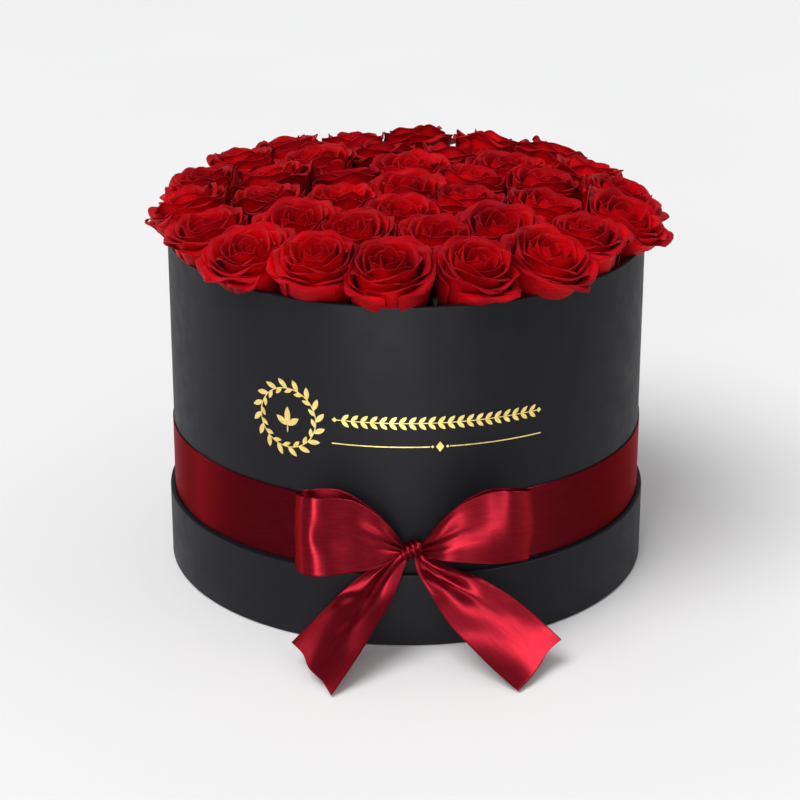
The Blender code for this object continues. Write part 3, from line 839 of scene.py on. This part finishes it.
TAIL_RIGHT = [
    ((4.5, -152.5, 60.5), (9.5, -151.5, 60.5)),
    ((6.0, -155.5, 52.0), (23.0, -153.0, 54.0), (2.5, 1.5, -4.0)),
    ((13.5, -161.0, 40.4), (41.1, -154.0, 47.2), (-1.5, 2.0, -1.5)),
    ((21.5, -170.0, 30.2), (55.5, -156.0, 39.1), (-1.5, -0.5, -1.0)),
    ((32.1, -178.0, 20.7), (68.8, -159.0, 29.2), (-0.8, -1.8, -0.8)),
    ((46.5, -189.0, 10.0), (78.0, -162.0, 21.5), (-0.3, -0.8, -0.3)),
    ((60.4, -198.5, 1.2), (85.6, -166.0, 15.6), (0.2, 1.2, 0.5)),
]
ribbon("bow_loop_left", LOOP_LEFT, 120, (1.4, 10.0), seed=11)
ribbon("bow_loop_right", LOOP_RIGHT, 120, (1.4, 10.0), seed=23)
ribbon("bow_tail_left", TAIL_LEFT, 90, (1.6, 10.0), (True, False), 35,
       (0.0, -1.2, 1.0, -0.6, 0.2))
ribbon("bow_tail_right", TAIL_RIGHT, 90, (1.5, 9.0), (True, False), 47,
       (0.0, 0.6, 0.0, -1.4, 0.0))


def build_knot():
    """The short turn of ribbon that binds the bow: pleated over the front, with both edges tucked in under it."""
    half, thick, many, wide = 5.8, 0.3, 72, 96
    section = [(0.8, -1.9), (-1.6, -2.9), (-3.4, -1.6), (-5.0, -2.4), (-6.1, -0.8), (-5.7, 0.4), (-4.5, 1.1),
               (-3.3, -1.1), (-1.7, 1.5), (-0.3, -1.1), (1.3, 1.6), (2.9, -1.1), (4.4, 1.2), (5.8, 0.2),
               (6.2, -1.1), (5.0, -2.7), (3.2, -1.8), (1.6, -3.2), (-0.6, -2.4)]
    verts, along, across = [], [], []
    for i in range(many):
        turn = math.tau * i / many
        for j in range(wide + 1):
            x, rise = between([np.array(p) for p in section], j / wide)
            slide = 0.55 * math.sin(turn + 0.7) * max(0.0, 1 - abs(x) / half)
            x, rise = x + slide, rise * (0.85 + 0.15 * math.cos(2 * turn + x))
            r = 4.3 * (1 - 0.20 * (abs(x) / half) ** 2.2) + 0.9 * rise
            verts.append(Vector((x, -r * math.cos(turn), r * math.sin(turn))))
            along.append(turn * 5.0)
            across.append(j / wide)
    askew = Euler((0.0, math.radians(-28), 0.0)).to_matrix()
    faces = [(i * (wide + 1) + j, i * (wide + 1) + j + 1, (i + 1) % many * (wide + 1) + j + 1,
              (i + 1) % many * (wide + 1) + j) for i in range(many) for j in range(wide)]
    knot = piece("bow_knot", [tuple(KNOT + askew @ v) for v in verts], faces, red_satin, "box",
                 marks={"along": along, "across": across}, sharp=180)
    woven(knot, along, across)
    made = knot.modifiers.new("thickness", "SOLIDIFY")
    made.thickness, made.offset = thick * MM, 0.0


build_knot()

# THE TABLE, THE LIGHT AND THE VIEW.  A pale seamless floor in a pale room. Two soft lamps, key and front,
# light matt surfaces only. The other three, top, sheen and rim, are seen only in gloss, and bring out the
# satin and the foil.
def build_studio():
    """Everything that isn't part of the object."""
    floor, tree, skin = blank("floor", Roughness=0.7)
    tint = ramp(tree, noise(tree, where(tree), 3, 2), (0.3, (0.89, 0.89, 0.89)), (0.7, (0.91, 0.91, 0.91)))
    tree.links.new(tint, skin.inputs["Base Color"])
    mesh = bpy.data.meshes.new("floor")
    half = 40.0
    mesh.from_pydata([(-half, -half, 0), (half, -half, 0), (half, half, 0), (-half, half, 0)], [], [(0, 1, 2, 3)])
    mesh.materials.append(floor)
    ground = bpy.data.objects.new("floor", mesh)
    bpy.context.scene.collection.objects.link(ground)
    ground.location.z = -0.0004

    world = bpy.data.worlds.new("room")
    world.use_nodes = True
    world.node_tree.nodes["Background"].inputs["Color"].default_value = (0.95, 0.95, 0.96, 1)
    world.node_tree.nodes["Background"].inputs["Strength"].default_value = 0.47
    bpy.context.scene.world = world
    for name, kind, place, size, power, on_cloth, on_matt in [
        ("key", "SUN", (-1.0, -1.0, 2.4), math.radians(38), 2.05, False, True),
        ("top", "SUN", (1.5, -0.43, 2.32), math.radians(12), 2.2, True, False),
        ("front", "AREA", (-0.3, -2.0, 0.9), (0.8, 0.8), 5.0, False, True),
        ("sheen", "AREA", (-0.24, -1.95, 0.55), (0.22, 0.9), 42.0, True, False),
        ("rim", "AREA", (-1.6, 0.55, 0.7), (0.22, 1.2), 9.0, True, False),
    ]:
        lamp = bpy.data.lights.new(name, kind)
        lamp.energy = power
        if kind == "SUN":
            lamp.angle = size
        else:
            lamp.shape, lamp.size, lamp.size_y = "RECTANGLE", *size
        made = bpy.data.objects.new(name, lamp)
        bpy.context.scene.collection.objects.link(made)
        made.location, made.visible_glossy, made.visible_diffuse = place, on_cloth, on_matt
        made.rotation_euler = (Vector((0, 0, 0.12)) - Vector(place)).to_track_quat("-Z", "Y").to_euler()
    lens = bpy.data.cameras.new("camera")
    lens.lens, lens.sensor_width = 108.38, 36.0
    camera = bpy.data.objects.new("camera", lens)
    bpy.context.scene.collection.objects.link(camera)
    camera.location = (-0.00368, -1.35396, 0.63199)
    camera.rotation_euler = (math.radians(90 - 21.743), 0, 0)
    bpy.context.scene.camera = camera
    bpy.context.scene.view_settings.view_transform = "Standard"


build_studio()
